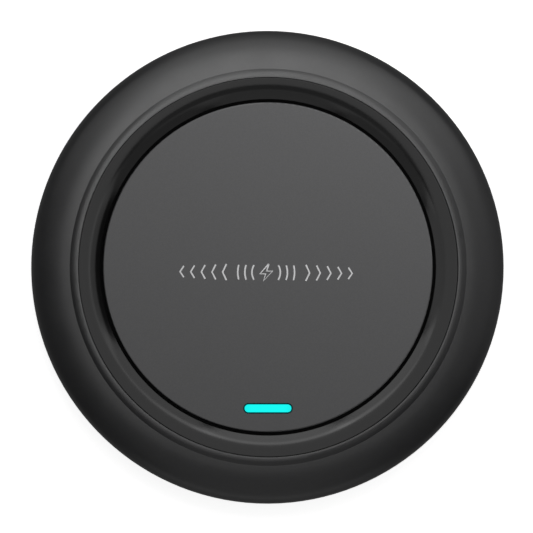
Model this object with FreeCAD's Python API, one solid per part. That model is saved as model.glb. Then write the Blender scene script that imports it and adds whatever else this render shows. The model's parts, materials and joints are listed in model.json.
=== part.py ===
"""Round wireless charging pad, modelled as the separate pieces it is assembled from.

The pad stands on a silicone ring. A bowl-shaped cover and an outer housing meet at the
widest point of the rim. A glossy bezel curves down from the rim's crest to a narrow gap
around the charging plate, which lies level with the bezel's inner edge. Under the plate
are the coil, its ferrite and their carrier, and below those the circuit board, whose
socket opens in the cover at the back.

Frame: millimetres, +Z up, origin on the resting surface under the centre. -Y is the
front, where the light bar is, and +Y the back, where the cable socket is.
"""

import FreeCAD, Part

import math
import os

from FreeCAD import Vector

# ---- overall form ----
BODY_DIAMETER = 100.0
COVER_BOTTOM = 0.7  # the foot ring lifts the cover this far off the surface
SEAM_HEIGHT = 9.5  # widest point of the rim, where housing and cover meet
CREST_HEIGHT = 13.6  # top of the rim
PLATE_TOP = 11.75  # the charging surface, level with the bezel's inner edge
HOUSING_WALL = 1.8
COVER_WALL = 2.0
PLATE_DIAMETER = 69.7
PLATE_GAP = 0.73  # between the plate's edge and the bezel
BEZEL_WIDTH = 4.5  # from the gap to the seam along the crest
SHELL_GAP = 0.05  # hairline between bezel and housing
BEAD_START_RADIUS = 40.5  # the housing's inner edge is a soft bead that falls from here
BEAD_END_RADIUS = 41.95  # to the line where it meets the rest of the rim
BEAD_FALL = 0.34
SEAM_LINE_WIDTH = 0.18
SEAM_LINE_DEPTH = 0.25

# ---- heights of the stack inside, from the bottom up ----
COVER_FLOOR = 2.3
BOARD_BOTTOM = 2.9
BOARD_TOP = 3.9
DECK_BOTTOM = 6.6
DECK_TOP = 8.0
CLAMP_FACE = 8.15  # where the carrier holds the bezel's inner foot against the plate's skirt
CARRIER_TOP = 8.3
FERRITE_BOTTOM = 8.4
GAP_FLOOR = 8.9
FERRITE_TOP = 9.2
COIL_TOP = 10.3
PLATE_BOTTOM = 10.4

# ---- housing and cover ----
DECK_INNER_RADIUS = 37.0
FLANGE_THICKNESS = 1.55
COVER_FLAT_RADIUS = 43.2
LIP_INNER_RADIUS = 46.5
LIP_OUTER_RADIUS = 47.5
LIP_TOP = 10.2
HEAD_SEAT = 2.4  # where the heads of the cover's screws bear
COLUMN_TOP = 3.3  # cover's screw columns
BOSS_BOTTOM = 3.4  # housing's screw bosses, just above the columns
VENT_COUNT = 16
VENT_CIRCLE = 24.0
VENT_LENGTH = 7.0
VENT_WIDTH = 1.5

# ---- foot ring and label ----
FOOT_INNER_RADIUS = 35.1
FOOT_OUTER_RADIUS = 42.3
FOOT_TOP = 1.2
FOOT_GROOVE_CIRCLES = (37.0, 38.7, 40.4)
FOOT_GROOVE_RADIUS = 0.35
CHANNEL_CEILING = 1.3
CHANNEL_CLEARANCE = 0.15
LABEL_RADIUS = 15.5
LABEL_RECESS_TOP = 0.9
LABEL_THICKNESS = 0.12

# ---- bezel ----
BEZEL_FACE_RADIUS = 6.4  # its face is an arc, level along the hairline
BEZEL_WALL = 1.3
BEZEL_LEG = 1.2  # wall that stands on the deck
BEZEL_FOOT_INNER_RADIUS = 33.4

# ---- charging plate ----
SKIRT_WALL = 1.65
PLATE_EDGE_FILLET = 0.3

# ---- light bar ----
LIGHT_LENGTH = 9.9
LIGHT_WIDTH = 1.65
LIGHT_Y = -29.8
LIGHT_CLEARANCE = 0.3
GUIDE_STEM_BOTTOM = 4.95
GUIDE_FLANGE_BOTTOM = 9.5
SHIELD_LENGTH = 12.5
SHIELD_WIDTH = 4.5
LED_SPREAD = 2.6

# ---- cable socket (USB type C receptacle) and the recess for its plug ----
SOCKET_WIDTH = 8.94
SOCKET_HEIGHT = 3.16
SOCKET_DEPTH = 7.3
SOCKET_SHEET = 0.3
SOCKET_MOUTH_Y = 45.2
SOCKET_LEG_BOTTOM = 2.8
CONTACTS_PER_FACE = 12
CONTACT_PITCH = 0.5
TONGUE_WIDTH = 6.69
TONGUE_THICKNESS = 0.7
INSULATOR_BLOCK_DEPTH = 1.6
PORT_WIDTH = 12.8
PORT_HEIGHT = 6.6
PORT_WALL = 1.2

# ---- fasteners: M2 self-tapping screws with pan heads ----
SCREW_HEAD_RADIUS = 1.9
SCREW_HEAD_HEIGHT = 1.1
SCREW_RADIUS = 0.95
SCREW_HOLE_RADIUS = 1.1
COVER_SCREW_CIRCLE = 39.4
CARRIER_SCREW_CIRCLE = 30.2
QUARTER_ANGLES = (45.0, 135.0, 225.0, 315.0)
BOARD_SCREW_CIRCLE = 31.0
BOARD_SCREW_ANGLES = (35.0, 145.0, 250.0)

# ---- coil, ferrite and carrier ----
COIL_TURNS = 10
COIL_INNER_RADIUS = 10.4
WIRE_DIAMETER = 1.1
WIRE_PITCH = 1.17
LEAD_BEND_RADIUS = 2.2
LEAD_FALL_RADIUS = 1.6
INNER_LEAD_X = 1.5  # where each lead drops to the board
OUTER_LEAD_X = 30.5
FERRITE_RADIUS = 25.2
CARRIER_INNER_RADIUS = 25.6
CARRIER_CUP_RADIUS = 27.0
CARRIER_FLANGE_RADIUS = 36.4
CARRIER_FLANGE_THICKNESS = 1.0
CENTRE_SLOT = (8.4, 6.4)  # lets the inner lead and the thermistor through
THERMISTOR_X = -1.8
THERMISTOR_BEAD_RADIUS = 0.9

# ---- circuit board ----
BOARD_RADIUS = 35.6
BOARD_TAB_WIDTH = 15.0
BOARD_TAB_END_Y = 43.8

# ---- derived ----
BODY_RADIUS = BODY_DIAMETER / 2
PLATE_RADIUS = PLATE_DIAMETER / 2
BEZEL_INNER_RADIUS = PLATE_RADIUS + PLATE_GAP
BEZEL_OUTER_RADIUS = BEZEL_INNER_RADIUS + BEZEL_WIDTH
CREST_RADIUS = BEZEL_OUTER_RADIUS + SHELL_GAP
FLANGE_OUTER_RADIUS = CREST_RADIUS + FLANGE_THICKNESS
SOCKET_CENTRE_Z = BOARD_TOP + SOCKET_HEIGHT / 2
SOCKET_REAR_Y = SOCKET_MOUTH_Y - SOCKET_DEPTH
CARRIER_SEAT = CLAMP_FACE - CARRIER_FLANGE_THICKNESS

UP = Vector(0, 0, 1)
SAME = 1e-4  # two lengths this close are the same
MERGE = 0.5  # bosses sink this far into what they stand on
PARTS_FOLDER = "parts"


# ---- geometry helpers ----
def polar(radius, degrees):
    angle = math.radians(degrees)
    return Vector(radius * math.cos(angle), radius * math.sin(angle), 0)


def circle_places(radius, angles):
    return [polar(radius, angle) for angle in angles]


def disc(radius, low, high, x=0.0, y=0.0):
    return Part.makeCylinder(radius, high - low, Vector(x, y, low))


def ring(inner, outer, low, high):
    return disc(outer, low, high).cut(disc(inner, low, high))


def block(width, depth, low, high, x=0.0, y=0.0):
    corner = Vector(x - width / 2, y - depth / 2, low)
    return Part.makeBox(width, depth, high - low, corner)


def slot(length, width, low, high, x=0.0, y=0.0):
    """Upright prism with a round-ended section, its length along X."""
    end = width / 2
    straight = length / 2 - end
    tip = length / 2
    edges = [
        Part.LineSegment(Vector(-straight, -end, 0), Vector(straight, -end, 0)).toShape(),
        Part.Arc(Vector(straight, -end, 0), Vector(tip, 0, 0), Vector(straight, end, 0)).toShape(),
        Part.LineSegment(Vector(straight, end, 0), Vector(-straight, end, 0)).toShape(),
        Part.Arc(Vector(-straight, end, 0), Vector(-tip, 0, 0), Vector(-straight, -end, 0)).toShape(),
    ]
    prism = Part.Face(Part.Wire(edges)).extrude(Vector(0, 0, high - low))
    prism.translate(Vector(x, y, low))
    return prism


def slot_along_y(length, height, y_low, y_high):
    """Round-ended prism lying along Y, centred on the socket."""
    prism = slot(length, height, 0, y_high - y_low)
    prism.rotate(Vector(0, 0, 0), Vector(1, 0, 0), -90)
    prism.translate(Vector(0, y_low, SOCKET_CENTRE_Z))
    return prism


def quarter_ring(centre_radius, centre_z, reach, rise):
    """Ring with a quarter-ellipse section. Reach is outwards and rise upwards; either may be negative."""
    centre = Vector(centre_radius, 0, centre_z)
    side = centre + Vector(reach, 0, 0)
    top = centre + Vector(0, 0, rise)
    longer, shorter = (side, top) if abs(reach) > abs(rise) else (top, side)
    curve = Part.ArcOfEllipse(Part.Ellipse(longer, shorter, centre), 0, math.pi / 2)
    edges = [
        Part.LineSegment(centre, side).toShape(),
        curve.toShape(),
        Part.LineSegment(top, centre).toShape(),
    ]
    return Part.Face(Part.Wire(edges)).revolve(Vector(0, 0, 0), UP, 360)


def join(first, *others):
    return first.multiFuse(list(others)).removeSplitter()


def rim_edges(shape, radius, z):
    """The shape's circular edges of that radius at that height, centred on the Z axis."""
    circles = [edge for edge in shape.Edges if isinstance(edge.Curve, Part.Circle)]
    centre = Vector(0, 0, z)
    return [
        edge
        for edge in circles
        if abs(edge.Curve.Radius - radius) < SAME and (edge.Curve.Center - centre).Length < SAME
    ]


def screw(place, head_face, seat, tip):
    """Pan-head screw along Z: the head lies between head_face and seat, the shank from seat to tip."""
    x, y = place.x, place.y
    recess_length, recess_width, recess_depth = 2.2, 0.5, 0.6
    head = disc(SCREW_HEAD_RADIUS, min(head_face, seat), max(head_face, seat), x, y)
    shank = disc(SCREW_RADIUS, min(seat, tip), max(seat, tip), x, y)
    inward = math.copysign(recess_depth, seat - head_face)
    low, high = sorted((head_face, head_face + inward))
    body = head.fuse(shank)
    body = body.cut(block(recess_length, recess_width, low, high, x, y))
    return body.cut(block(recess_width, recess_length, low, high, x, y))


def rod(start, end, radius):
    direction = end - start
    return Part.makeCylinder(radius, direction.Length, start, direction)


def wire_bend(start, heading, pivot, axis, degrees, radius):
    """Round wire bent about an axis through pivot, beginning at start and facing along heading."""
    section = Part.Face(Part.Wire(Part.Circle(start, heading, radius).toShape()))
    return section.revolve(pivot, axis, degrees)


# ---- outer shells ----
def port_recess():
    """The plug's recess and the hole for the socket's mouth behind it."""
    mouth_clearance = 0.2
    recess = slot_along_y(PORT_WIDTH, PORT_HEIGHT, SOCKET_MOUTH_Y, BODY_RADIUS + 1)
    mouth = slot_along_y(
        SOCKET_WIDTH + mouth_clearance,
        SOCKET_HEIGHT + mouth_clearance,
        SOCKET_MOUTH_Y - 2 * PORT_WALL,
        SOCKET_MOUTH_Y + 1,
    )
    return recess.fuse(mouth)


def port_walls():
    """Block that closes the plug's recess off from the inside of the rim."""
    inner_face = SOCKET_MOUTH_Y - PORT_WALL
    depth = BODY_RADIUS - inner_face
    y = inner_face + depth / 2
    return block(PORT_WIDTH + 2 * PORT_WALL, depth, COVER_BOTTOM, SEAM_HEIGHT, 0, y)


def crest_bead():
    """Ring along the housing's inner edge: level at first, then an arc that sinks into the rim."""
    run = BEAD_END_RADIUS - BEAD_START_RADIUS
    arc_radius = (run**2 + BEAD_FALL**2) / (2 * BEAD_FALL)
    full_angle = math.asin((run + MERGE) / arc_radius)
    start = Vector(BEAD_START_RADIUS, 0, CREST_HEIGHT)

    def on_arc(angle):
        return start + Vector(arc_radius * math.sin(angle), 0, arc_radius * (math.cos(angle) - 1))

    end = on_arc(full_angle)
    buried = CREST_HEIGHT - HOUSING_WALL / 2
    inner_top = Vector(CREST_RADIUS, 0, CREST_HEIGHT)
    inner_low = Vector(CREST_RADIUS, 0, buried)
    outer_low = Vector(end.x, 0, buried)
    edges = [
        Part.LineSegment(inner_low, inner_top).toShape(),
        Part.LineSegment(inner_top, start).toShape(),
        Part.Arc(start, on_arc(full_angle / 2), end).toShape(),
        Part.LineSegment(end, outer_low).toShape(),
        Part.LineSegment(outer_low, inner_low).toShape(),
    ]
    return Part.Face(Part.Wire(edges)).revolve(Vector(0, 0, 0), UP, 360)


def rim_rise(reach):
    """Height above the widest point at which the rim's curve would level off over the crest."""
    run = (BEAD_END_RADIUS - CREST_RADIUS) / reach
    return (CREST_HEIGHT - BEAD_FALL - SEAM_HEIGHT) / math.sqrt(1 - run**2)


def outer_housing():
    reach = BODY_RADIUS - CREST_RADIUS
    rise = rim_rise(reach)
    boss_radius = 2.3
    edge_fillet = 0.1
    skin = quarter_ring(CREST_RADIUS, SEAM_HEIGHT, reach, rise)
    hollow = quarter_ring(CREST_RADIUS, SEAM_HEIGHT, reach - HOUSING_WALL, rise - HOUSING_WALL)
    shell = join(
        skin.cut(hollow),
        crest_bead(),
        ring(CREST_RADIUS, FLANGE_OUTER_RADIUS, DECK_BOTTOM, CREST_HEIGHT - HOUSING_WALL),
        ring(DECK_INNER_RADIUS, FLANGE_OUTER_RADIUS, DECK_BOTTOM, DECK_TOP),
    )
    for at in circle_places(COVER_SCREW_CIRCLE, QUARTER_ANGLES):
        shell = shell.fuse(disc(boss_radius, BOSS_BOTTOM, DECK_BOTTOM + MERGE, at.x, at.y))
        shell = shell.cut(disc(SCREW_RADIUS, BOSS_BOTTOM, DECK_BOTTOM + MERGE, at.x, at.y))
    shell = shell.makeFillet(edge_fillet, rim_edges(shell, CREST_RADIUS, CREST_HEIGHT))
    seam_top = SEAM_HEIGHT + SEAM_LINE_WIDTH
    seam_line = ring(BODY_RADIUS - SEAM_LINE_DEPTH, BODY_RADIUS + 1, SEAM_HEIGHT, seam_top)
    relief_top = SOCKET_CENTRE_Z + SOCKET_HEIGHT / 2 + 0.3
    socket_relief = block(SOCKET_WIDTH + 1.6, 8.0, DECK_BOTTOM, relief_top, 0, SOCKET_REAR_Y + 2)
    return shell.cut(seam_line).cut(socket_relief)


def vent_slots():
    slots = []
    for index in range(VENT_COUNT):
        one = slot(VENT_LENGTH, VENT_WIDTH, 0, COVER_FLOOR + 1, VENT_CIRCLE)
        one.rotate(Vector(0, 0, 0), UP, (index + 0.5) * 360 / VENT_COUNT)
        slots.append(one)
    return slots


def bottom_cover():
    reach = BODY_RADIUS - COVER_FLAT_RADIUS
    column_radius = 2.9
    board_post_radius = 2.4
    pilot_depth = 1.4
    skin = quarter_ring(COVER_FLAT_RADIUS, SEAM_HEIGHT, reach, COVER_BOTTOM - SEAM_HEIGHT)
    hollow = quarter_ring(COVER_FLAT_RADIUS, SEAM_HEIGHT, reach - COVER_WALL, COVER_FLOOR - SEAM_HEIGHT)
    lip = ring(LIP_INNER_RADIUS, LIP_OUTER_RADIUS, BOARD_BOTTOM + 1, LIP_TOP)
    lip = lip.cut(block(PORT_WIDTH + 3, 10, BOARD_BOTTOM, LIP_TOP + 1, 0, BODY_RADIUS - 2))
    shell = join(
        disc(COVER_FLAT_RADIUS, COVER_BOTTOM, COVER_FLOOR),
        skin.cut(hollow),
        lip,
        port_walls().common(skin),
    )
    for at in circle_places(COVER_SCREW_CIRCLE, QUARTER_ANGLES):
        shell = shell.fuse(disc(column_radius, COVER_FLOOR - MERGE, COLUMN_TOP, at.x, at.y))
        shell = shell.cut(disc(SCREW_HEAD_RADIUS + 0.2, CHANNEL_CEILING, HEAD_SEAT, at.x, at.y))
        shell = shell.cut(disc(SCREW_HOLE_RADIUS, HEAD_SEAT, COLUMN_TOP, at.x, at.y))
    for at in circle_places(BOARD_SCREW_CIRCLE, BOARD_SCREW_ANGLES):
        shell = shell.fuse(disc(board_post_radius, COVER_FLOOR - MERGE, BOARD_BOTTOM, at.x, at.y))
        shell = shell.cut(disc(SCREW_RADIUS, BOARD_BOTTOM - pilot_depth, BOARD_BOTTOM, at.x, at.y))
    inner = FOOT_INNER_RADIUS - CHANNEL_CLEARANCE
    outer = FOOT_OUTER_RADIUS + CHANNEL_CLEARANCE
    shell = shell.cut(ring(inner, outer, 0, CHANNEL_CEILING))
    shell = shell.cut(disc(LABEL_RADIUS + 0.3, 0, LABEL_RECESS_TOP))
    for one in vent_slots():
        shell = shell.cut(one)
    return shell.cut(port_recess())


def arch_ring(inner, face_radius, low):
    """Ring from an inner radius to the hairline, from low up to an arc that is level at the hairline."""
    centre = Vector(BEZEL_OUTER_RADIUS, 0, CREST_HEIGHT - BEZEL_FACE_RADIUS)
    edge_angle = math.asin((BEZEL_OUTER_RADIUS - inner) / face_radius)

    def on_face(angle):
        return centre + Vector(-face_radius * math.sin(angle), 0, face_radius * math.cos(angle))

    foot = Vector(inner, 0, low)
    heel = Vector(BEZEL_OUTER_RADIUS, 0, low)
    edges = [
        Part.LineSegment(foot, on_face(edge_angle)).toShape(),
        Part.Arc(on_face(edge_angle), on_face(edge_angle / 2), on_face(0)).toShape(),
        Part.LineSegment(on_face(0), heel).toShape(),
        Part.LineSegment(heel, foot).toShape(),
    ]
    return Part.Face(Part.Wire(edges)).revolve(Vector(0, 0, 0), UP, 360)


def inner_bezel():
    """Arched ring: a convex face towards the plate, a leg on the deck and a foot under the plate's skirt."""
    edge_fillet = 0.15
    hollow_start = BEZEL_INNER_RADIUS + BEZEL_WALL
    leg_inner = BEZEL_OUTER_RADIUS - BEZEL_LEG
    outside = arch_ring(BEZEL_INNER_RADIUS, BEZEL_FACE_RADIUS, GAP_FLOOR)
    inside = arch_ring(hollow_start, BEZEL_FACE_RADIUS - BEZEL_WALL, GAP_FLOOR)
    bezel = join(
        outside.cut(inside),
        ring(leg_inner, BEZEL_OUTER_RADIUS, CLAMP_FACE, CREST_HEIGHT - BEZEL_WALL),
        ring(BEZEL_FOOT_INNER_RADIUS, hollow_start, CLAMP_FACE, GAP_FLOOR),
    )
    return bezel.makeFillet(edge_fillet, rim_edges(bezel, BEZEL_OUTER_RADIUS, CREST_HEIGHT))


def light_bar_prism(clearance, low, high):
    return slot(LIGHT_LENGTH + 2 * clearance, LIGHT_WIDTH + 2 * clearance, low, high, 0, LIGHT_Y)


def charging_plate():
    boss_radius = 2.2
    pilot_top = 10.5
    plate = join(
        disc(PLATE_RADIUS, PLATE_BOTTOM, PLATE_TOP),
        ring(PLATE_RADIUS - SKIRT_WALL, PLATE_RADIUS, GAP_FLOOR, PLATE_BOTTOM),
    )
    plate = plate.makeFillet(PLATE_EDGE_FILLET, rim_edges(plate, PLATE_RADIUS, PLATE_TOP))
    for at in circle_places(CARRIER_SCREW_CIRCLE, QUARTER_ANGLES):
        plate = plate.fuse(disc(boss_radius, CLAMP_FACE, PLATE_BOTTOM + MERGE, at.x, at.y))
        plate = plate.cut(disc(SCREW_RADIUS, CLAMP_FACE, pilot_top, at.x, at.y))
    return plate.cut(light_bar_prism(LIGHT_CLEARANCE, PLATE_BOTTOM, PLATE_TOP))


def foot_ring():
    """Silicone ring with shallow round grooves in the face that it stands on."""
    edge_fillet = 0.35
    foot = ring(FOOT_INNER_RADIUS, FOOT_OUTER_RADIUS, 0, FOOT_TOP)
    edges = rim_edges(foot, FOOT_INNER_RADIUS, 0) + rim_edges(foot, FOOT_OUTER_RADIUS, 0)
    foot = foot.makeFillet(edge_fillet, edges)
    for radius in FOOT_GROOVE_CIRCLES:
        foot = foot.cut(Part.makeTorus(radius, FOOT_GROOVE_RADIUS, Vector(0, 0, 0)))
    return foot


# ---- light bar ----
def light_guide():
    """Clear bar with a flange that stops it under the plate, and a stem down to the LEDs."""
    flange = slot(LIGHT_LENGTH + 2.0, LIGHT_WIDTH + 1.6, GUIDE_FLANGE_BOTTOM, PLATE_BOTTOM, 0, LIGHT_Y)
    window = light_bar_prism(0, PLATE_BOTTOM, PLATE_TOP)
    stem = light_bar_prism(-0.1, GUIDE_STEM_BOTTOM, GUIDE_FLANGE_BOTTOM)
    return join(flange, window, stem)


def light_shield():
    """Opaque sleeve around the guide's stem, from the board up to its flange."""
    outer = slot(SHIELD_LENGTH, SHIELD_WIDTH, BOARD_TOP, GUIDE_FLANGE_BOTTOM, 0, LIGHT_Y)
    return outer.cut(light_bar_prism(0.1, BOARD_TOP, GUIDE_FLANGE_BOTTOM))


# ---- coil stack ----
def coil_lead(coil_x, side, drop_x, level, wire):
    """One end of the coil: a turn off the coil, a straight run along X and a drop to the board."""
    start = Vector(coil_x, 0, level)
    outward = Vector(side, 0, 0)
    y = side * LEAD_BEND_RADIUS
    run_start = Vector(coil_x + y, y, level)
    run_end = Vector(drop_x - side * LEAD_FALL_RADIUS, y, level)
    drop_top = Vector(drop_x, y, level - LEAD_FALL_RADIUS)
    return [
        wire_bend(start, Vector(0, 1, 0), start + outward * LEAD_BEND_RADIUS, UP, -90, wire),
        rod(run_start, run_end, wire),
        wire_bend(run_end, outward, run_end - UP * LEAD_FALL_RADIUS, Vector(0, 1, 0), side * 90, wire),
        rod(drop_top, Vector(drop_x, y, BOARD_TOP), wire),
    ]


def transmitter_coil():
    """Flat spiral made of half turns about two centres, with both ends led down to the board."""
    wire = WIRE_DIAMETER / 2
    level = COIL_TOP - wire
    first_radius = COIL_INNER_RADIUS + wire
    centre_shift = WIRE_PITCH / 4
    pieces = []
    for index in range(2 * COIL_TURNS):
        radius = first_radius + index * WIRE_PITCH / 2
        side = 1 if index % 2 == 0 else -1
        pivot = Vector(-side * centre_shift, 0, level)
        start = pivot + Vector(side * radius, 0, 0)
        pieces.append(wire_bend(start, Vector(0, 1, 0), pivot, UP, 180, wire))
    inner_x = first_radius - centre_shift
    outer_x = inner_x + COIL_TURNS * WIRE_PITCH
    pieces += coil_lead(inner_x, -1, INNER_LEAD_X, level, wire)
    pieces += coil_lead(outer_x, 1, OUTER_LEAD_X, level, wire)
    return pieces[0].multiFuse(pieces[1:])


def coil_tape():
    inner, outer = 9.0, 22.0
    return ring(inner, outer, COIL_TOP, PLATE_BOTTOM)


def ferrite_disc():
    centre_hole = slot(*CENTRE_SLOT, FERRITE_BOTTOM, FERRITE_TOP)
    return disc(FERRITE_RADIUS, FERRITE_BOTTOM, FERRITE_TOP).cut(centre_hole)


def ferrite_tape():
    inner, margin = 6.0, 1.2
    return ring(inner, FERRITE_RADIUS - margin, CARRIER_TOP, FERRITE_BOTTOM)


def coil_carrier():
    """Tray that holds ferrite and coil up against the plate and clamps the bezel's foot."""
    cup_rim = 9.1
    tray_bottom = 7.2
    tray = join(
        disc(CARRIER_CUP_RADIUS, tray_bottom, CARRIER_TOP),
        ring(CARRIER_INNER_RADIUS, CARRIER_CUP_RADIUS, CARRIER_SEAT, cup_rim),
        ring(CARRIER_INNER_RADIUS, CARRIER_FLANGE_RADIUS, CARRIER_SEAT, CLAMP_FACE),
    )
    lead_hole = slot(4.0, 2.4, CARRIER_SEAT, CLAMP_FACE, OUTER_LEAD_X, LEAD_BEND_RADIUS)
    shield_hole = slot(SHIELD_LENGTH + 0.4, SHIELD_WIDTH + 0.4, CARRIER_SEAT, cup_rim, 0, LIGHT_Y)
    tray = tray.cut(slot(*CENTRE_SLOT, tray_bottom, CARRIER_TOP)).cut(lead_hole).cut(shield_hole)
    for at in circle_places(CARRIER_SCREW_CIRCLE, QUARTER_ANGLES):
        tray = tray.cut(disc(SCREW_HOLE_RADIUS, CARRIER_SEAT, CLAMP_FACE, at.x, at.y))
    return tray


def thermistor():
    """Bead temperature sensor that touches the plate, on two fine leads from the board."""
    lead_radius = 0.2
    lead_spread = 0.45
    centre_z = PLATE_BOTTOM - THERMISTOR_BEAD_RADIUS
    bead = Part.makeSphere(THERMISTOR_BEAD_RADIUS, Vector(THERMISTOR_X, 0, centre_z))
    leads = [
        rod(Vector(THERMISTOR_X, y, BOARD_TOP), Vector(THERMISTOR_X, y, centre_z), lead_radius)
        for y in (-lead_spread, lead_spread)
    ]
    return join(bead, *leads)


# ---- circuit board and cable socket ----
def socket_leg_places():
    inset = (SOCKET_WIDTH - SOCKET_SHEET) / 2
    return [(side * inset, SOCKET_REAR_Y + along) for side in (-1, 1) for along in (1.5, 5.1)]


def circuit_board():
    tab_start = 28.0
    tab_depth = BOARD_TAB_END_Y - tab_start
    tab = block(BOARD_TAB_WIDTH, tab_depth, BOARD_BOTTOM, BOARD_TOP, 0, tab_start + tab_depth / 2)
    board = join(disc(BOARD_RADIUS, BOARD_BOTTOM, BOARD_TOP), tab)
    for at in circle_places(BOARD_SCREW_CIRCLE, BOARD_SCREW_ANGLES):
        board = board.cut(disc(SCREW_HOLE_RADIUS, BOARD_BOTTOM, BOARD_TOP, at.x, at.y))
    for x, y in socket_leg_places():
        board = board.cut(block(2 * SOCKET_SHEET, 1.5, BOARD_BOTTOM, BOARD_TOP, x, y))
    return board


def usb_shell():
    """Seamless steel tube, open at both ends, on four soldered legs."""
    bore_width = SOCKET_WIDTH - 2 * SOCKET_SHEET
    bore_height = SOCKET_HEIGHT - 2 * SOCKET_SHEET
    outer = slot_along_y(SOCKET_WIDTH, SOCKET_HEIGHT, SOCKET_REAR_Y, SOCKET_MOUTH_Y)
    bore = slot_along_y(bore_width, bore_height, SOCKET_REAR_Y, SOCKET_MOUTH_Y)
    legs = []
    for x, y in socket_leg_places():
        legs.append(block(SOCKET_SHEET, 1.1, SOCKET_LEG_BOTTOM, SOCKET_CENTRE_Z, x, y))
    return join(outer.cut(bore), *legs)


def usb_insulator():
    """Moulded block at the back of the socket, with the thin tongue that carries the contacts."""
    width = SOCKET_WIDTH - 2 * SOCKET_SHEET
    height = SOCKET_HEIGHT - 2 * SOCKET_SHEET
    rear = slot_along_y(width, height, SOCKET_REAR_Y, SOCKET_REAR_Y + INSULATOR_BLOCK_DEPTH)
    half = TONGUE_THICKNESS / 2
    tongue_depth = SOCKET_DEPTH - 0.5 - INSULATOR_BLOCK_DEPTH
    middle = SOCKET_REAR_Y + INSULATOR_BLOCK_DEPTH + tongue_depth / 2
    tongue = block(TONGUE_WIDTH, tongue_depth, SOCKET_CENTRE_Z - half, SOCKET_CENTRE_Z + half, 0, middle)
    return join(rear, tongue)


def usb_contacts():
    """Gilt strips on both faces of the tongue."""
    strip_width, strip_length, strip_height = 0.26, 3.8, 0.06
    upper = SOCKET_CENTRE_Z + TONGUE_THICKNESS / 2
    lower = SOCKET_CENTRE_Z - TONGUE_THICKNESS / 2 - strip_height
    y = SOCKET_MOUTH_Y - 2.6
    strips = []
    for index in range(CONTACTS_PER_FACE):
        x = (index - (CONTACTS_PER_FACE - 1) / 2) * CONTACT_PITCH
        for low in (lower, upper):
            strips.append(block(strip_width, strip_length, low, low + strip_height, x, y))
    return Part.makeCompound(strips)


def chip_part(length, width, height, place):
    """Surface-mounted part: a body with a metal cap at each end."""
    x, y = place
    cap_length = length / 5
    body = block(length - cap_length, 0.96 * width, BOARD_TOP, BOARD_TOP + 0.96 * height, x, y)
    reach = (length - cap_length) / 2
    top = BOARD_TOP + height
    caps = [block(cap_length, width, BOARD_TOP, top, x + offset, y) for offset in (-reach, reach)]
    return join(body, *caps)


def chip_group(length, width, height, places):
    return Part.makeCompound([chip_part(length, width, height, place) for place in places])


def controller_chip():
    """Square flat package with a round mark in one corner and a row of pads on each side."""
    y = -9.0
    size, height, pads_per_side, pad_pitch, pad_width = 7.0, 0.95, 12, 0.5, 0.24
    body = block(size, size, BOARD_TOP + 0.05, BOARD_TOP + height, 0, y)
    mark_depth = 0.1
    body = body.cut(disc(0.35, BOARD_TOP + height - mark_depth, BOARD_TOP + height, -2.7, y + 2.7))
    pads = []
    for index in range(pads_per_side):
        offset = (index - (pads_per_side - 1) / 2) * pad_pitch
        pads.append(block(pad_width, size + 0.1, BOARD_TOP, BOARD_TOP + 0.2, offset, y))
        pads.append(block(size + 0.1, pad_width, BOARD_TOP, BOARD_TOP + 0.2, 0, y + offset))
    return join(body, *pads)


def bridge_transistors():
    """Two flat power packages with four legs on each side."""
    y = 12.0
    leg_pitch = 1.27
    packages = []
    for x in (-12.0, 12.0):
        body = block(4.9, 3.9, BOARD_TOP + 0.12, BOARD_TOP + 1.6, x, y)
        legs = []
        for index in range(4):
            leg_x = x + (index - 1.5) * leg_pitch
            legs.append(block(0.42, 6.0, BOARD_TOP, BOARD_TOP + 0.3, leg_x, y))
        packages.append(join(body, *legs))
    return Part.makeCompound(packages)


def resonant_capacitors():
    return chip_group(3.2, 2.5, 1.8, [(19.5, y) for y in (-12.0, -8.4, -4.8, -1.2)])


def input_capacitors():
    return chip_group(3.2, 1.6, 1.4, [(x, 27.0) for x in (-5.4, 0.0, 5.4)])


def power_inductor():
    """Shielded square choke with a terminal at each end."""
    x, y = -15.0, -4.0
    size, height = 6.0, 2.6
    body = block(size, size, BOARD_TOP + 0.1, BOARD_TOP + height, x, y)
    upright = [edge for edge in body.Edges if edge.BoundBox.ZLength > 1]
    body = body.makeChamfer(0.5, upright)
    ends = [block(1.3, 4.4, BOARD_TOP, BOARD_TOP + 0.3, x + side * 2.2, y) for side in (-1, 1)]
    return join(body, *ends)


def chip_passives():
    """Small resistors and capacitors in rows beside the larger parts."""
    front_row = [(x, -17.5) for x in (-8.0, -5.0, -2.0, 1.0, 4.0, 7.0)]
    back_row = [(x, 18.5) for x in (-12.0, -9.0, -6.0, 6.0, 9.0, 12.0)]
    left_column = [(-25.5, y) for y in (-8.0, -5.6, -3.2, 3.2, 5.6, 8.0)]
    beside_lights = [(-7.6, -27.0), (7.6, -27.0)]
    return chip_group(1.6, 0.8, 0.6, front_row + back_row + left_column + beside_lights)


def indicator_leds():
    package_top = BOARD_TOP + 0.5
    lens_top = BOARD_TOP + 0.8
    pair = []
    for x in (-LED_SPREAD, LED_SPREAD):
        package = block(2.8, 1.2, BOARD_TOP, package_top, x, LIGHT_Y)
        pair.append(join(package, block(1.8, 1.0, package_top, lens_top, x, LIGHT_Y)))
    return Part.makeCompound(pair)


def thermal_pad():
    side = 24.0
    return block(side, side, COVER_FLOOR, BOARD_BOTTOM)


# ---- fasteners, adhesives and label ----
def cover_screws():
    tip = 6.4
    head_face = HEAD_SEAT - SCREW_HEAD_HEIGHT
    places = circle_places(COVER_SCREW_CIRCLE, QUARTER_ANGLES)
    return Part.makeCompound([screw(at, head_face, HEAD_SEAT, tip) for at in places])


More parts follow.
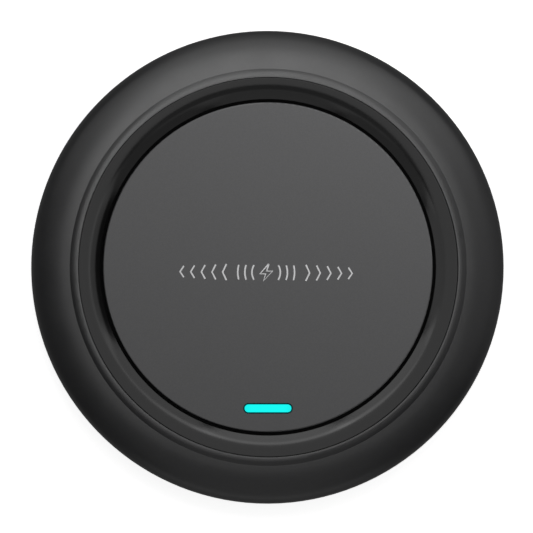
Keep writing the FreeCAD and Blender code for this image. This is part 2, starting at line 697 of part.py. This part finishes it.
def board_screws():
    tip = 1.7
    places = circle_places(BOARD_SCREW_CIRCLE, BOARD_SCREW_ANGLES)
    return Part.makeCompound([screw(at, BOARD_TOP + SCREW_HEAD_HEIGHT, BOARD_TOP, tip) for at in places])


def carrier_screws():
    tip = 10.3
    head_face = CARRIER_SEAT - SCREW_HEAD_HEIGHT
    places = circle_places(CARRIER_SCREW_CIRCLE, QUARTER_ANGLES)
    return Part.makeCompound([screw(at, head_face, CARRIER_SEAT, tip) for at in places])


def bezel_adhesive():
    return ring(BEZEL_OUTER_RADIUS - BEZEL_LEG, BEZEL_OUTER_RADIUS, DECK_TOP, CLAMP_FACE)


def foot_adhesive():
    margin = 0.2
    return ring(FOOT_INNER_RADIUS + margin, FOOT_OUTER_RADIUS - margin, FOOT_TOP, CHANNEL_CEILING)


def rating_label():
    return disc(LABEL_RADIUS, LABEL_RECESS_TOP - LABEL_THICKNESS, LABEL_RECESS_TOP)


PIECES = (
    outer_housing,
    bottom_cover,
    inner_bezel,
    charging_plate,
    foot_ring,
    light_guide,
    light_shield,
    transmitter_coil,
    coil_tape,
    ferrite_disc,
    ferrite_tape,
    coil_carrier,
    thermistor,
    circuit_board,
    usb_shell,
    usb_insulator,
    usb_contacts,
    controller_chip,
    bridge_transistors,
    resonant_capacitors,
    input_capacitors,
    power_inductor,
    chip_passives,
    indicator_leds,
    thermal_pad,
    cover_screws,
    board_screws,
    carrier_screws,
    bezel_adhesive,
    foot_adhesive,
    rating_label,
)


def main():
    os.makedirs(PARTS_FOLDER, exist_ok=True)
    for piece in PIECES:
        name = piece.__name__
        shape = piece()
        if not shape.isValid():
            raise ValueError(f"{name} is not a valid shape")
        shape.exportStep(os.path.join(PARTS_FOLDER, name + ".step"))
        print(f"{name}: {len(shape.Solids)} solid(s), {shape.Volume:.1f} mm3")


main()
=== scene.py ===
import json
import math

import bpy
from mathutils import Matrix, Vector


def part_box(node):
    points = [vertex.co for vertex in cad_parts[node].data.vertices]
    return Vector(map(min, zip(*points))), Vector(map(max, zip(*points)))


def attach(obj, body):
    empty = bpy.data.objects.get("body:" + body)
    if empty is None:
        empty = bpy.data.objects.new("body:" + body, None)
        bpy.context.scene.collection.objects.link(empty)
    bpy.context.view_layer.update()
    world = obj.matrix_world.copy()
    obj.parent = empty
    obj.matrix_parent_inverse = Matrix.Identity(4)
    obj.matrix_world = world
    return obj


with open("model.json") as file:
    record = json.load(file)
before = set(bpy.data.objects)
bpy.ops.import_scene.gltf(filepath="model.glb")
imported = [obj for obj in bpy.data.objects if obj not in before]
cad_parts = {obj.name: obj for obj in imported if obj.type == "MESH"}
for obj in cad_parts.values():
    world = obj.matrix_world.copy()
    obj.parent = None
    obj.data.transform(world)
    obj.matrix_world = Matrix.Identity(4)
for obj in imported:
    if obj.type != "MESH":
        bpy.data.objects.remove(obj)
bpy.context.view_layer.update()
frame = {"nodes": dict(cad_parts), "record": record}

# A round wireless charging pad seen from almost straight above, on a white floor.
# Units are metres. Places come from the frame's own boxes.

NODES = frame["nodes"]
MM = 0.001

PLATE_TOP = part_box("charging_plate")[1].z
CREST_ABOVE_WIDEST = 4.1 * MM
WIDEST_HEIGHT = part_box("outer_housing")[1].z - CREST_ABOVE_WIDEST


# ---- node helpers ----
class Finish:
    """A procedural material under construction: a Principled shader driven by noise in object space."""

    def __init__(self, name, colour, roughness, specular=0.5, metallic=0.0):
        self.colour = Vector(colour)
        self.roughness = roughness
        self.material = bpy.data.materials.new(name)
        self.material.use_nodes = True
        self.tree = self.material.node_tree
        self.shader = self.tree.nodes["Principled BSDF"]
        self.shader.inputs["Base Color"].default_value = (*colour, 1)
        self.shader.inputs["Roughness"].default_value = roughness
        self.shader.inputs["Specular IOR Level"].default_value = specular
        self.shader.inputs["Metallic"].default_value = metallic
        self.place = self.node("ShaderNodeTexCoord").outputs["Object"]

    def node(self, kind, **settings):
        made = self.tree.nodes.new(kind)
        for key, value in settings.items():
            setattr(made, key, value)
        return made

    def join(self, source, target):
        self.tree.links.new(source, target)

    def set(self, **values):
        for key, value in values.items():
            self.shader.inputs[key.replace("_", " ")].default_value = value
        return self

    def stretched(self, scale):
        mapping = self.node("ShaderNodeMapping")
        mapping.inputs["Scale"].default_value = scale
        self.join(self.place, mapping.inputs["Vector"])
        return mapping.outputs["Vector"]

    def noise(self, size, detail=4.0, place=None):
        """Noise whose blotches are about size metres across, from 0 to 1."""
        texture = self.node("ShaderNodeTexNoise")
        texture.inputs["Scale"].default_value = 1 / size
        texture.inputs["Detail"].default_value = detail
        self.join(place or self.place, texture.inputs["Vector"])
        return texture.outputs["Fac"]

    def spread(self, source, low, high, start=0.3, end=0.7):
        """Maps source, from start to end, onto low to high."""
        remap = self.node("ShaderNodeMapRange")
        remap.inputs["From Min"].default_value = start
        remap.inputs["From Max"].default_value = end
        remap.inputs["To Min"].default_value = low
        remap.inputs["To Max"].default_value = high
        self.join(source, remap.inputs["Value"])
        return remap.outputs["Result"]

    def blend(self, factor, first, second):
        mix = self.node("ShaderNodeMix", data_type="RGBA")
        self.join(factor, mix.inputs[0])
        for socket, value in ((mix.inputs[6], first), (mix.inputs[7], second)):
            if isinstance(value, bpy.types.NodeSocket):
                self.join(value, socket)
            else:
                socket.default_value = (*value, 1)
        return mix.outputs[2]

    def mottle(self, size, amount, detail=4.0, place=None):
        """Colour that drifts by the fraction amount on either side of the base."""
        factor = self.spread(self.noise(size, detail, place), 0, 1)
        tint = self.blend(factor, self.colour * (1 - amount), self.colour * (1 + amount))
        self.join(tint, self.shader.inputs["Base Color"])
        return self

    def uneven_gloss(self, size, amount, detail=3.0, place=None):
        gloss = self.noise(size, detail, place)
        rough = self.spread(gloss, self.roughness - amount, self.roughness + amount)
        self.join(rough, self.shader.inputs["Roughness"])
        return self

    def relief(self, height_source, depth):
        bump = self.node("ShaderNodeBump")
        bump.inputs["Distance"].default_value = depth
        self.join(height_source, bump.inputs["Height"])
        self.join(bump.outputs["Normal"], self.shader.inputs["Normal"])
        return self

    def radius_from_axis(self):
        length = self.node("ShaderNodeVectorMath", operation="LENGTH")
        self.join(self.stretched((1, 1, 0)), length.inputs[0])
        return length.outputs["Value"]


# ---- finishes, one for each material slot ----
def satin_black():
    """Moulded rim: smooth satin with a very fine skin."""
    finish = Finish("satin_black", (0.020, 0.020, 0.021), 0.36, specular=0.9)
    finish.mottle(0.9 * MM, 0.08).uneven_gloss(6 * MM, 0.02)
    return finish.relief(finish.noise(0.12 * MM), 0.0006 * MM)


def textured_black():
    """Underside: spark-eroded texture that scatters light."""
    finish = Finish("textured_black", (0.022, 0.022, 0.023), 0.55, specular=0.45)
    finish.mottle(0.5 * MM, 0.12).uneven_gloss(3 * MM, 0.05)
    return finish.relief(finish.noise(0.22 * MM), 0.02 * MM)


def gloss_black():
    """Bezel: polished plastic with a trace of flow from the mould, left rough down in the gap."""
    finish = Finish("gloss_black", (0.0025, 0.0025, 0.0026), 0.18, specular=0.5)
    gap_roughness = 0.95
    rough_below, polished_above = PLATE_TOP - 0.3 * MM, PLATE_TOP - 0.1 * MM
    finish.mottle(2 * MM, 0.1)
    height = finish.node("ShaderNodeSeparateXYZ")
    finish.join(finish.place, height.inputs[0])
    polished = finish.spread(finish.noise(8 * MM), finish.roughness - 0.02, finish.roughness + 0.02)
    in_gap = finish.spread(height.outputs["Z"], 1, 0, rough_below, polished_above)
    rough = finish.node("ShaderNodeMix", data_type="FLOAT")
    finish.join(in_gap, rough.inputs[0])
    finish.join(polished, rough.inputs[2])
    rough.inputs[3].default_value = gap_roughness
    finish.join(rough.outputs[0], finish.shader.inputs["Roughness"])
    return finish.relief(finish.noise(5 * MM, 2.0), 0.002 * MM)


def plate_grey_black():
    """Charging plate: soft matte coating with fine grain."""
    finish = Finish("plate_grey_black", (0.11, 0.11, 0.112), 0.55, specular=0.35)
    finish.mottle(0.22 * MM, 0.07, detail=6.0).uneven_gloss(4 * MM, 0.03)
    return finish.relief(finish.noise(0.16 * MM), 0.004 * MM)


def foot_silicone():
    """Soft grippy rubber, faintly dusty."""
    finish = Finish("foot_silicone", (0.035, 0.035, 0.037), 0.62, specular=0.35)
    finish.mottle(2.5 * MM, 0.25).uneven_gloss(2 * MM, 0.08)
    return finish.relief(finish.noise(0.3 * MM), 0.01 * MM)


def light_bar_cyan():
    """Lit window: its top glows evenly, easing off at the ends, and its sides stay dark."""
    finish = Finish("light_bar_cyan", (0.003, 0.02, 0.02), 0.4, specular=0.3)
    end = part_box("light_guide")[1].x
    fade_start = 0.6 * end
    dark_below, lit_above = PLATE_TOP - 0.1 * MM, PLATE_TOP - 0.02 * MM
    parts = finish.node("ShaderNodeSeparateXYZ")
    finish.join(finish.place, parts.inputs[0])
    along = finish.node("ShaderNodeMath", operation="ABSOLUTE")
    finish.join(parts.outputs["X"], along.inputs[0])
    fade = finish.spread(along.outputs["Value"], 0, 1, fade_start, end)
    glow = finish.blend(fade, (0.003, 0.95, 0.90), (0.003, 0.80, 0.78))
    top = finish.spread(parts.outputs["Z"], 0, 1, dark_below, lit_above)
    lit = finish.blend(top, (0.0, 0.03, 0.03), glow)
    finish.join(lit, finish.shader.inputs["Emission Color"])
    finish.mottle(0.4 * MM, 0.1)
    return finish.set(Emission_Strength=1.0)


def inner_black_plastic():
    finish = Finish("inner_black_plastic", (0.03, 0.03, 0.03), 0.5)
    finish.mottle(0.8 * MM, 0.15).uneven_gloss(1.5 * MM, 0.06)
    return finish.relief(finish.noise(0.2 * MM), 0.01 * MM)


def coil_copper():
    """Enamelled copper strand: fine twisted filaments under a clear film."""
    finish = Finish("coil_copper", (0.72, 0.34, 0.17), 0.3, metallic=1.0)
    twist = finish.node("ShaderNodeTexWave", wave_type="RINGS", rings_direction="Z")
    twist.inputs["Scale"].default_value = 1 / (1.2 * MM)
    twist.inputs["Distortion"].default_value = 3.0
    finish.join(finish.place, twist.inputs["Vector"])
    finish.mottle(0.6 * MM, 0.2)
    finish.relief(twist.outputs["Fac"], 0.03 * MM)
    return finish.set(Coat_Weight=0.6, Coat_Roughness=0.15)


def amber_tape():
    """Polyimide tape: amber film with a few drawn creases."""
    finish = Finish("amber_tape", (0.55, 0.26, 0.04), 0.25)
    creases = finish.noise(3 * MM, 5.0, finish.stretched((1, 0.2, 1)))
    finish.mottle(4 * MM, 0.2)
    return finish.relief(creases, 0.03 * MM)


def ferrite():
    """Sintered ferrite: dark grey with crystalline flecks."""
    finish = Finish("ferrite", (0.07, 0.07, 0.078), 0.55)
    flecks = finish.node("ShaderNodeTexVoronoi")
    flecks.inputs["Scale"].default_value = 1 / (0.25 * MM)
    finish.join(finish.place, flecks.inputs["Vector"])
    factor = finish.spread(flecks.outputs["Distance"], 0, 1, 0.1, 0.8)
    tint = finish.blend(factor, finish.colour * 1.5, finish.colour * 0.8)
    finish.join(tint, finish.shader.inputs["Base Color"])
    return finish.relief(flecks.outputs["Distance"], 0.01 * MM)


def adhesive_film():
    finish = Finish("adhesive_film", (0.70, 0.70, 0.66), 0.45)
    finish.mottle(1.2 * MM, 0.08).uneven_gloss(2 * MM, 0.1)
    return finish.relief(finish.noise(0.5 * MM), 0.01 * MM)


def sensor_glass():
    finish = Finish("sensor_glass", (0.30, 0.13, 0.04), 0.12)
    finish.mottle(0.3 * MM, 0.3)
    return finish.set(Coat_Weight=1.0, Coat_Roughness=0.05)


def board_green():
    """Solder mask over copper: paler lines where tracks run beneath it."""
    finish = Finish("board_green", (0.012, 0.12, 0.05), 0.3)
    tracks = finish.node("ShaderNodeTexVoronoi", feature="DISTANCE_TO_EDGE")
    tracks.inputs["Scale"].default_value = 1 / (3 * MM)
    tracks.inputs["Randomness"].default_value = 0.6
    finish.join(finish.place, tracks.inputs["Vector"])
    line = finish.spread(tracks.outputs["Distance"], 0, 1, 0.08, 0.11)
    tint = finish.blend(line, finish.colour * 2.2, finish.colour)
    finish.join(tint, finish.shader.inputs["Base Color"])
    finish.uneven_gloss(1 * MM, 0.05)
    return finish.relief(line, -0.02 * MM)


def brushed_metal(name, colour, roughness):
    """Metal with drawn lines along Y."""
    finish = Finish(name, colour, roughness, metallic=1.0)
    drawn = finish.stretched((1, 0.05, 1))
    finish.mottle(0.2 * MM, 0.06, place=drawn).uneven_gloss(0.15 * MM, 0.08, place=drawn)
    return finish.relief(finish.noise(0.1 * MM, 3.0, drawn), 0.002 * MM)


def socket_steel():
    return brushed_metal("socket_steel", (0.62, 0.63, 0.65), 0.28)


def contact_gold():
    return brushed_metal("contact_gold", (0.90, 0.62, 0.22), 0.2)


def screw_zinc():
    return brushed_metal("screw_zinc", (0.55, 0.56, 0.60), 0.35)


def chip_black():
    finish = Finish("chip_black", (0.035, 0.035, 0.037), 0.45)
    finish.mottle(0.15 * MM, 0.25)
    return finish.relief(finish.noise(0.1 * MM), 0.006 * MM)


def chip_ceramic():
    finish = Finish("chip_ceramic", (0.42, 0.31, 0.20), 0.4)
    finish.mottle(0.5 * MM, 0.18).uneven_gloss(0.4 * MM, 0.1)
    return finish.relief(finish.noise(0.15 * MM), 0.005 * MM)


def led_body():
    finish = Finish("led_body", (0.80, 0.82, 0.70), 0.25)
    finish.mottle(0.3 * MM, 0.08)
    return finish.set(Coat_Weight=0.5)


def thermal_silicone():
    finish = Finish("thermal_silicone", (0.32, 0.42, 0.50), 0.65)
    finish.mottle(0.5 * MM, 0.15)
    return finish.relief(finish.noise(0.3 * MM), 0.02 * MM)


def label_film():
    """Blank rating label: dark film with one pale border line."""
    finish = Finish("label_film", (0.075, 0.075, 0.08), 0.4)
    radius = finish.radius_from_axis()
    label_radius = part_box("rating_label")[1].x
    line_outside = label_radius - 1.0 * MM
    line_inside = label_radius - 1.3 * MM
    blur = 0.05 * MM
    outer_edge = finish.spread(radius, 0, 1, line_outside, line_outside + blur)
    inner_edge = finish.spread(radius, 0, 1, line_inside, line_inside + blur)
    line = finish.node("ShaderNodeMath", operation="SUBTRACT")
    finish.join(inner_edge, line.inputs[0])
    finish.join(outer_edge, line.inputs[1])
    paper = finish.spread(finish.noise(0.3 * MM), 0, 1)
    film = finish.blend(paper, finish.colour * 0.9, finish.colour * 1.1)
    tint = finish.blend(line.outputs["Value"], film, (0.45, 0.45, 0.46))
    finish.join(tint, finish.shader.inputs["Base Color"])
    return finish.relief(finish.noise(0.4 * MM), 0.006 * MM)


def print_ink():
    """Pad-printed grey ink, slightly uneven at its surface."""
    finish = Finish("print_ink", (0.80, 0.80, 0.81), 0.5, specular=0.3)
    finish.mottle(0.12 * MM, 0.06)
    return finish.relief(finish.noise(0.08 * MM), 0.003 * MM)


FINISHES = {
    make.__name__: make().material
    for make in (
        satin_black, textured_black, gloss_black, plate_grey_black, foot_silicone, light_bar_cyan,
        inner_black_plastic, coil_copper, amber_tape, ferrite, adhesive_film, sensor_glass, board_green,
        socket_steel, contact_gold, screw_zinc, chip_black, chip_ceramic, led_body, thermal_silicone,
        label_film, print_ink,
    )
}


def wear(piece, slot):
    piece.data.materials.clear()
    piece.data.materials.append(FINISHES[slot])


for subpart in frame["record"]["subparts"]:
    wear(NODES[subpart["node"]], subpart["material_slot"])


# ---- printed mark on the plate ----
INK_STROKE = 0.36 * MM
INK_HEIGHT = 0.03 * MM
MARK_CENTRE = Vector((-0.4 * MM, -1.1 * MM))
MARK_TILT = math.radians(-0.6)
MARK_HEIGHT = 3.6 * MM
MARK_HALF_WIDTH = 18.2 * MM


def arc_points(radius, half_height, side, steps=16):
    """An arc about the mark's centre, bulging to the left (-1) or right (1)."""
    half_angle = math.asin(half_height / radius)
    angles = [half_angle * (2 * index / steps - 1) for index in range(steps + 1)]
    return [(side * radius * math.cos(angle), radius * math.sin(angle)) for angle in angles]


def mark_strokes():
    """A bolt between waves that spread to both sides, then a row of chevrons."""
    half = MARK_HEIGHT / 2
    bolt = [
        (0.55 * MM, half), (-1.35 * MM, -0.3 * MM), (-0.1 * MM, -0.3 * MM), (-0.55 * MM, -half),
        (1.35 * MM, 0.3 * MM), (0.1 * MM, 0.3 * MM), (0.55 * MM, half),
    ]
    strokes = [bolt]
    first_wave, wave_pitch, wave_count, wave_share = 3.0 * MM, 1.5 * MM, 3, 0.86
    first_chevron, chevron_count, lean = 8.4 * MM, 5, 0.8 * MM
    chevron_share, share_drop = 0.95, 0.07
    chevron_pitch = (MARK_HALF_WIDTH - lean - first_chevron) / (chevron_count - 1)
    for side in (-1, 1):
        for index in range(wave_count):
            strokes.append(arc_points(first_wave + index * wave_pitch, wave_share * half, side))
        for index in range(chevron_count):
            x = first_chevron + index * chevron_pitch
            reach = half * (chevron_share - share_drop * index)
            strokes.append([(side * x, reach), (side * (x + lean), 0), (side * x, -reach)])
    return strokes


def printed_mark():
    """Raised strokes: round curve bevels flattened to the ink's height and laid on the plate."""
    curve = bpy.data.curves.new("printed_mark_path", "CURVE")
    curve.dimensions = "3D"
    curve.bevel_depth = INK_STROKE / 2
    curve.bevel_resolution = 3
    curve.use_fill_caps = True
    for points in mark_strokes():
        spline = curve.splines.new("POLY")
        spline.points.add(len(points) - 1)
        for point, (x, y) in zip(spline.points, points):
            point.co = (x, y, 0, 1)
    source = bpy.data.objects.new("printed_mark_path", curve)
    mesh = bpy.data.meshes.new_from_object(source)
    bpy.data.objects.remove(source)
    flatten = Matrix.Diagonal((1, 1, 2 * INK_HEIGHT / INK_STROKE, 1))
    place = Matrix.Translation((*MARK_CENTRE, PLATE_TOP)) @ Matrix.Rotation(MARK_TILT, 4, "Z")
    mesh.transform(place @ flatten)
    piece = bpy.data.objects.new("printed_mark", mesh)
    bpy.context.scene.collection.objects.link(piece)
    wear(piece, "print_ink")
    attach(piece, "root")


printed_mark()


# ---- floor ----
FLOOR_DROP = 0.02 * MM
FLOOR_HALF_WIDTH = 3.0


def plane(name, height):
    half = FLOOR_HALF_WIDTH
    corners = [(x, y, height) for x, y in ((-half, -half), (half, -half), (half, half), (-half, half))]
    mesh = bpy.data.meshes.new(name)
    mesh.from_pydata(corners, [], [(0, 1, 2, 3)])
    piece = bpy.data.objects.new(name, mesh)
    bpy.context.scene.collection.objects.link(piece)
    return piece


def glowing(finish, strength):
    finish.set(Emission_Color=(1, 1, 1, 1), Emission_Strength=strength)
    return finish.material


def floor():
    """White floor with its own glow, so it stays white beside the pad. The pad sees a dimmer one."""
    sheet = plane("floor", -FLOOR_DROP)
    sheet.visible_glossy = False
    sheet.visible_diffuse = False
    white = Finish("floor_white", (0.8, 0.8, 0.8), 0.9, specular=0.1)
    sheet.data.materials.append(glowing(white, 0.85))
    bounce = plane("floor_bounce", -2 * FLOOR_DROP)
    bounce.visible_camera = False
    bounce.visible_shadow = False
    dim = Finish("floor_bounce", (0, 0, 0), 0.9, specular=0.0)
    bounce.data.materials.append(glowing(dim, 0.2))


floor()


# ---- light ----
def panel(name, place, target, width, height, radiance):
    """Soft rectangular light that the camera doesn't see, of a given brightness."""
    lamp = bpy.data.lights.new(name, "AREA")
    lamp.shape = "RECTANGLE"
    lamp.size = width
    lamp.size_y = height
    lamp.energy = radiance * math.pi * width * height
    piece = bpy.data.objects.new(name, lamp)
    bpy.context.scene.collection.objects.link(piece)
    piece.location = place
    direction = Vector(target) - Vector(place)
    piece.rotation_euler = direction.to_track_quat("-Z", "Y").to_euler()
    piece.visible_camera = False
    return piece


def receivers(name, pieces):
    group = bpy.data.collections.new(name)
    for piece in pieces:
        group.objects.link(piece)
    return group


def place_panels(group, panels):
    """Panels that light only the pieces in group: level ones face down, the rest face the plate."""
    for name, place, width, height, radiance, level in panels:
        target = (place[0], place[1], 0) if level else (0, 0, PLATE_TOP)
        lamp = panel(name, place, target, width, height, radiance)
        lamp.light_linking.receiver_collection = group


# name, place, width, height, radiance, level
SATIN_PANELS = (
    ("satin_above", (0, 0, 0.40), 0.22, 0.22, 1.0, False),
    ("satin_key", (0, 0.14, 0.38), 0.24, 0.20, 2.3, False),
    ("satin_back_high", (0, 0.32, 0.30), 0.34, 0.24, 0.85, False),
    ("satin_back_low", (0, 0.50, 0.14), 0.50, 0.20, 0.36, False),
    ("satin_back_right", (0.24, 0.24, 0.30), 0.24, 0.24, 0.86, False),
    ("satin_back_left", (-0.24, 0.24, 0.30), 0.24, 0.24, 0.44, False),
    ("satin_right", (0.30, 0, 0.30), 0.24, 0.24, 0.26, False),
    ("satin_right_low", (0.50, 0.05, 0.14), 0.5, 0.2, 0.2, False),
    ("satin_left_low", (-0.50, 0.05, 0.14), 0.5, 0.2, 0.07, False),
    ("satin_front_high", (0, -0.30, 0.30), 0.3, 0.24, 0.2, False),
    ("satin_front_low", (0, -0.50, 0.14), 0.6, 0.2, 0.38, False),
)
GLOSS_PANELS = (
    ("gloss_above", (0, 0.17, 0.34), 0.6, 0.58, 0.85, True),
    ("gloss_back", (0, 0.50, 0.24), 0.42, 0.44, 1.6, False),
    ("gloss_back_left", (-0.36, 0.36, 0.24), 0.42, 0.44, 1.35, False),
    ("gloss_back_right", (0.36, 0.36, 0.24), 0.42, 0.44, 1.0, False),
    ("gloss_left", (-0.50, 0.0, 0.24), 0.42, 0.44, 0.7, False),
    ("gloss_right", (0.38, 0.0, 0.31), 0.38, 0.24, 0.6, False),
    ("gloss_front_left", (-0.36, -0.36, 0.24), 0.42, 0.44, 0.32, False),
    ("gloss_front_right", (0.36, -0.36, 0.24), 0.42, 0.44, 0.27, False),
    ("gloss_front", (0, -0.50, 0.24), 0.42, 0.44, 0.42, False),
    ("gloss_front_high", (0, -0.24, 0.36), 0.5, 0.16, 0.22, False),
)
PLATE_PANELS = (
    ("plate_key", (0.05, 0.17, 0.22), 0.20, 0.15, 7.1, False),
    ("plate_fill", (-0.10, -0.20, 0.35), 0.30, 0.30, 0.15, False),
)


def light():
    """Soft white panels all round: one set for the bezel, one for the plate and one for the rest."""
    gloss = [NODES["inner_bezel"]]
    plate = [NODES["charging_plate"], NODES["light_guide"], bpy.data.objects["printed_mark"]]
    meshes = [piece for piece in bpy.context.scene.objects if piece.type == "MESH"]
    satin = [piece for piece in meshes if piece not in gloss + plate]
    place_panels(receivers("polished", gloss), GLOSS_PANELS)
    place_panels(receivers("plate", plate), PLATE_PANELS)
    place_panels(receivers("satin", satin), SATIN_PANELS)
    world = bpy.data.worlds.new("studio")
    world.use_nodes = True
    background = world.node_tree.nodes["Background"]
    background.inputs["Color"].default_value = (1, 1, 1, 1)
    background.inputs["Strength"].default_value = 0.03
    bpy.context.scene.world = world


light()


# ---- camera ----
def camera():
    """Almost straight down, two degrees from the left, and far enough off to flatten the perspective."""
    distance = 3.0
    tilt = math.radians(2.2)
    frame_width = 112.7 * MM
    aim = Vector((-0.23 * MM, 0.17 * MM, WIDEST_HEIGHT))
    lens = bpy.data.cameras.new("camera")
    lens.sensor_width = 36
    lens.lens = lens.sensor_width * distance / frame_width
    piece = bpy.data.objects.new("camera", lens)
    bpy.context.scene.collection.objects.link(piece)
    piece.location = aim + distance * Vector((-math.sin(tilt), 0, math.cos(tilt)))
    piece.rotation_euler = (0, -tilt, 0)
    bpy.context.scene.camera = piece
    bpy.context.scene.view_settings.view_transform = "Standard"


camera()
